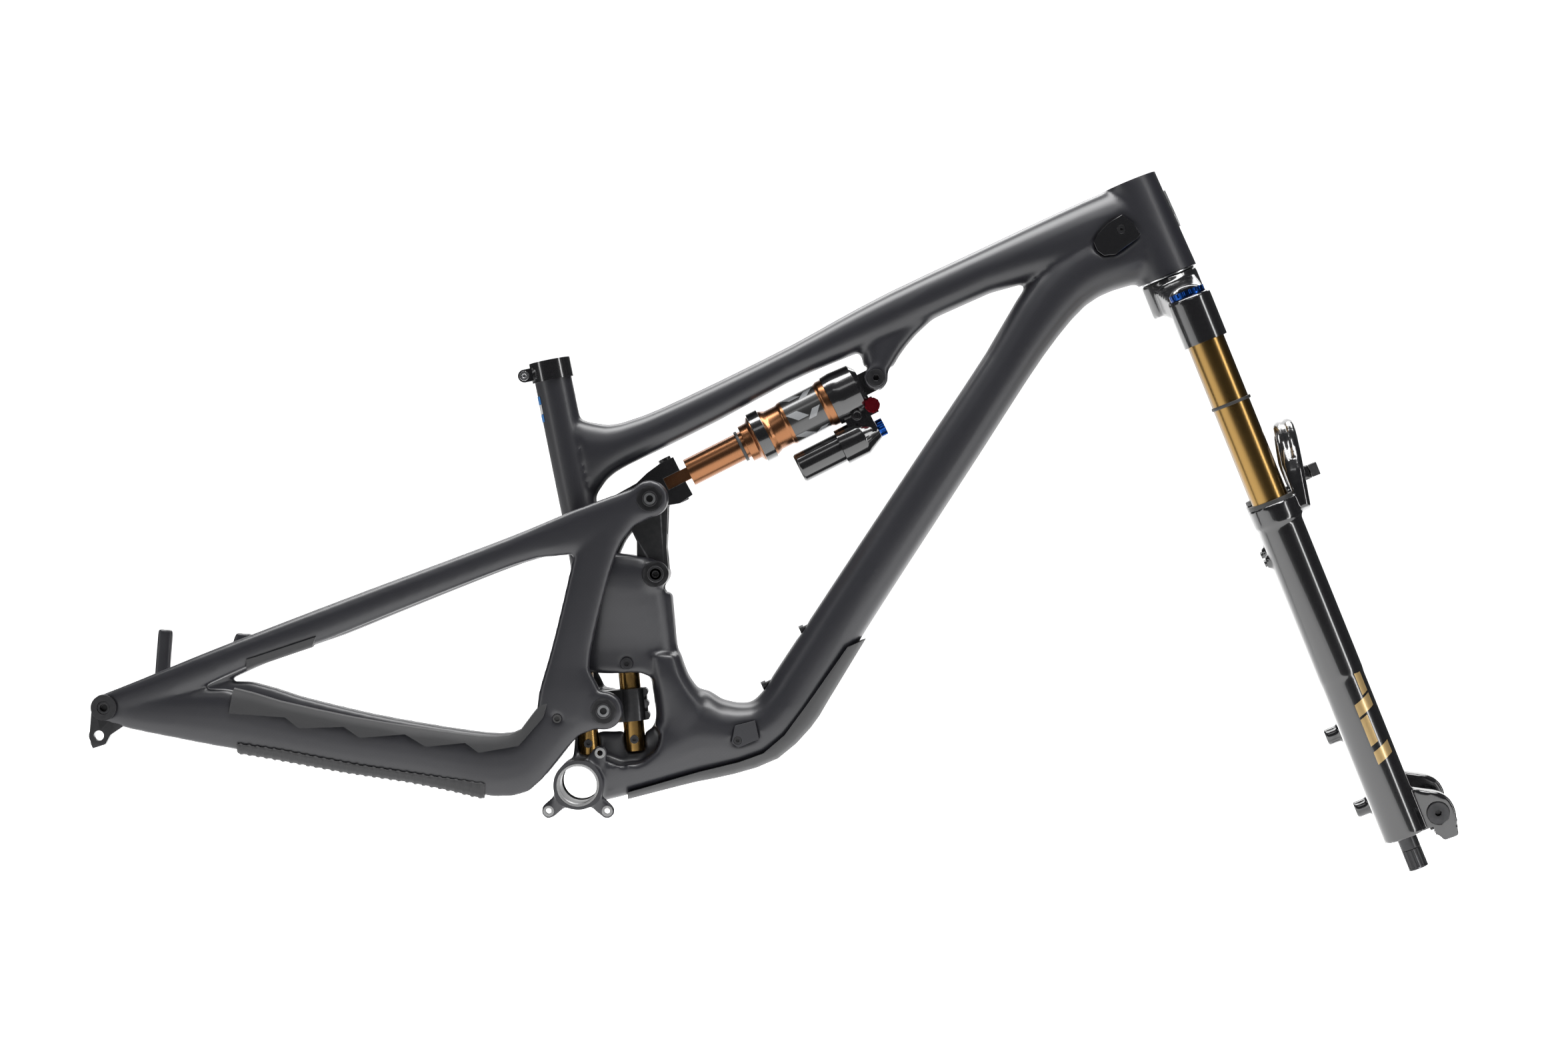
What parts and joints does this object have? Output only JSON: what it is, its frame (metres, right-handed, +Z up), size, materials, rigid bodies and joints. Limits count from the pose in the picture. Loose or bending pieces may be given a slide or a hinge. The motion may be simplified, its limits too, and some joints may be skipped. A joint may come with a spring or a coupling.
{
  "type": "full-suspension mountain bike frame",
  "caption": "Carbon mountain bike frame with a sliding lower pivot, a rocker link, an air shock and a telescopic fork that steers and travels.",
  "frame": {"origin": "centre of the bottom-bracket shell", "axes": "+X forward towards the front wheel, +Y to the rider's left, along the bottom-bracket bore, +Z up with the bicycle on level ground"},
  "size_m": [1.2635, 0.1804, 0.6425],
  "materials": {
    "carbon": "satin clear coat over charcoal carbon fibre",
    "black_anodised": "satin black anodised aluminium",
    "fork_black": "gloss black painted magnesium",
    "bronze": "bronze hard anodised aluminium",
    "gold": "low friction gold hard anodised aluminium",
    "steel": "turned stainless steel",
    "raw_aluminium": "machined raw aluminium",
    "rubber": "moulded black rubber",
    "bushing": "self-lubricating polymer liner",
    "blue_anodised": "blue anodised aluminium",
    "red_anodised": "red anodised aluminium"
  },
  "bodies": {
    "front_triangle": {"front_triangle": "carbon", "bb_threaded_sleeve": "raw_aluminium", "iscg_inserts": "raw_aluminium", "seat_clamp": "black_anodised", "seat_clamp_bolt": "steel", "upper_headset_bearing": "steel", "lower_headset_bearing": "steel", "slide_rails": "gold", "rail_bolts": "steel", "link_pivot_axle": "black_anodised", "link_pivot_bearings": "steel", "shock_mount_bolt": "black_anodised", "cable_port_covers": "black_anodised", "cover_screws": "steel", "access_cover": "carbon", "down_tube_guard": "rubber", "bottle_bolts": "black_anodised", "head_badge": "raw_aluminium"},
    "slide_carrier": {"slide_carrier": "black_anodised", "carrier_bushings": "bushing", "main_pivot_axle": "steel"},
    "swingarm": {"swingarm": "carbon", "swingarm_bearings": "steel", "upper_pivot_pins": "steel", "pivot_caps": "black_anodised", "derailleur_hanger": "black_anodised", "rear_axle": "steel", "chainstay_guard": "rubber", "seatstay_guard": "rubber", "lower_stay_guard": "rubber", "cable_grommets": "rubber"},
    "rocker_link": {"rocker_link": "black_anodised", "yoke_pivot_pin": "steel"},
    "shock_body": {"shock_head": "black_anodised", "air_can": "bronze", "air_can_band": "black_anodised", "shock_reservoir": "black_anodised", "air_valve_cap": "black_anodised", "shock_mount_bushing": "steel", "shock_travel_ring": "rubber"},
    "shock_shaft": {"shock_shaft": "bronze", "shock_yoke": "black_anodised", "yoke_bolt": "steel"},
    "shock_rebound_knob": {"shock_rebound_knob": "red_anodised"},
    "shock_compression_knob": {"shock_compression_knob": "blue_anodised"},
    "fork_upper": {"crown_steerer": "black_anodised", "crown_race": "steel", "stanchions": "gold", "fork_air_cap": "black_anodised"},
    "fork_travel_ring": {"fork_travel_ring": "rubber"},
    "fork_compression_knob": {"fork_compression_knob": "blue_anodised"},
    "fork_lowers": {"fork_lowers": "fork_black", "wiper_seals": "rubber", "front_axle": "black_anodised", "axle_pinch_bolts": "steel", "damper_foot": "black_anodised", "hose_guide": "black_anodised"},
    "bleeder_right": {"bleeder_right": "fork_black"},
    "bleeder_left": {"bleeder_left": "fork_black"},
    "fork_rebound_knob": {"fork_rebound_knob": "red_anodised"}
  },
  "joints": [
    {"name": "rear_slide", "type": "slide", "parent": "front_triangle", "child": "slide_carrier", "axis": [-0.1685, 0, 0.9857], "range_m": [0, 0.00325]},
    {"name": "main_pivot", "type": "hinge", "parent": "slide_carrier", "child": "swingarm", "pos_m": [0.0188, 0, 0.0708], "axis": [0, 1, 0], "range_deg": [0, 17.73]},
    {"name": "link_pivot", "type": "hinge", "parent": "front_triangle", "child": "rocker_link", "pos_m": [0.056, 0, 0.1995], "axis": [0, 1, 0], "range_deg": [0, 50.2]},
    {"name": "shock_mount_pivot", "type": "hinge", "parent": "front_triangle", "child": "shock_body", "pos_m": [0.2446, 0, 0.3964], "axis": [0, 1, 0], "range_deg": [-4.8, 0]},
    {"name": "shock_stroke", "type": "slide", "parent": "shock_body", "child": "shock_shaft", "axis": [0.8547, 0, 0.5191], "range_m": [0, 0.05605]},
    {"name": "shock_rebound_dial", "type": "hinge", "parent": "shock_body", "child": "shock_rebound_knob", "pos_m": [0.24336, -0.014, 0.37108], "axis": [0, -1, 0], "range_deg": [0, 330]},
    {"name": "shock_compression_dial", "type": "hinge", "parent": "shock_body", "child": "shock_compression_knob", "pos_m": [0.25307, 0, 0.35124], "axis": [0.8547, 0, 0.5191], "range_deg": [0, 270]},
    {"name": "steering", "type": "hinge", "parent": "front_triangle", "child": "fork_upper", "pos_m": [0.5083, 0, 0.5138], "axis": [-0.4462, 0, 0.8949], "range_deg": [-58, 72]},
    {"name": "fork_travel", "type": "slide", "parent": "fork_upper", "child": "fork_lowers", "axis": [-0.4462, 0, 0.8949], "range_m": [0, 0.15]},
    {"name": "fork_ring_slide", "type": "slide", "parent": "fork_upper", "child": "fork_travel_ring", "axis": [-0.4462, 0, 0.8949], "range_m": [0, 0.05775]},
    {"name": "fork_compression_dial", "type": "hinge", "parent": "fork_upper", "child": "fork_compression_knob", "pos_m": [0.52014, -0.06766, 0.49289], "axis": [-0.4462, 0, 0.8949], "range_deg": [0, 90]},
    {"name": "bleeder_press_right", "type": "slide", "parent": "fork_lowers", "child": "bleeder_right", "axis": [0.8883, -0.1219, 0.4429], "range_m": [0, 0.0012], "stiffness_N_per_m": 600},
    {"name": "bleeder_press_left", "type": "slide", "parent": "fork_lowers", "child": "bleeder_left", "axis": [0.8883, -0.1219, 0.4429], "range_m": [0, 0.0012], "stiffness_N_per_m": 600},
    {"name": "fork_rebound_dial", "type": "hinge", "parent": "fork_lowers", "child": "fork_rebound_knob", "pos_m": [0.76689, -0.06766, -0.00201], "axis": [0.4462, 0, -0.8949], "range_deg": [0, 330]}
  ],
  "couplings": [
    {"joint": "rear_slide", "follows": "main_pivot", "m_per_rad": 0.010377},
    {"joint": "link_pivot", "follows": "main_pivot", "ratio": 2.8264},
    {"joint": "shock_mount_pivot", "follows": "main_pivot", "ratio": -0.26967},
    {"joint": "shock_stroke", "follows": "main_pivot", "m_per_rad": 0.18079},
    {"joint": "fork_ring_slide", "follows": "fork_travel", "ratio": 0.385}
  ]
}
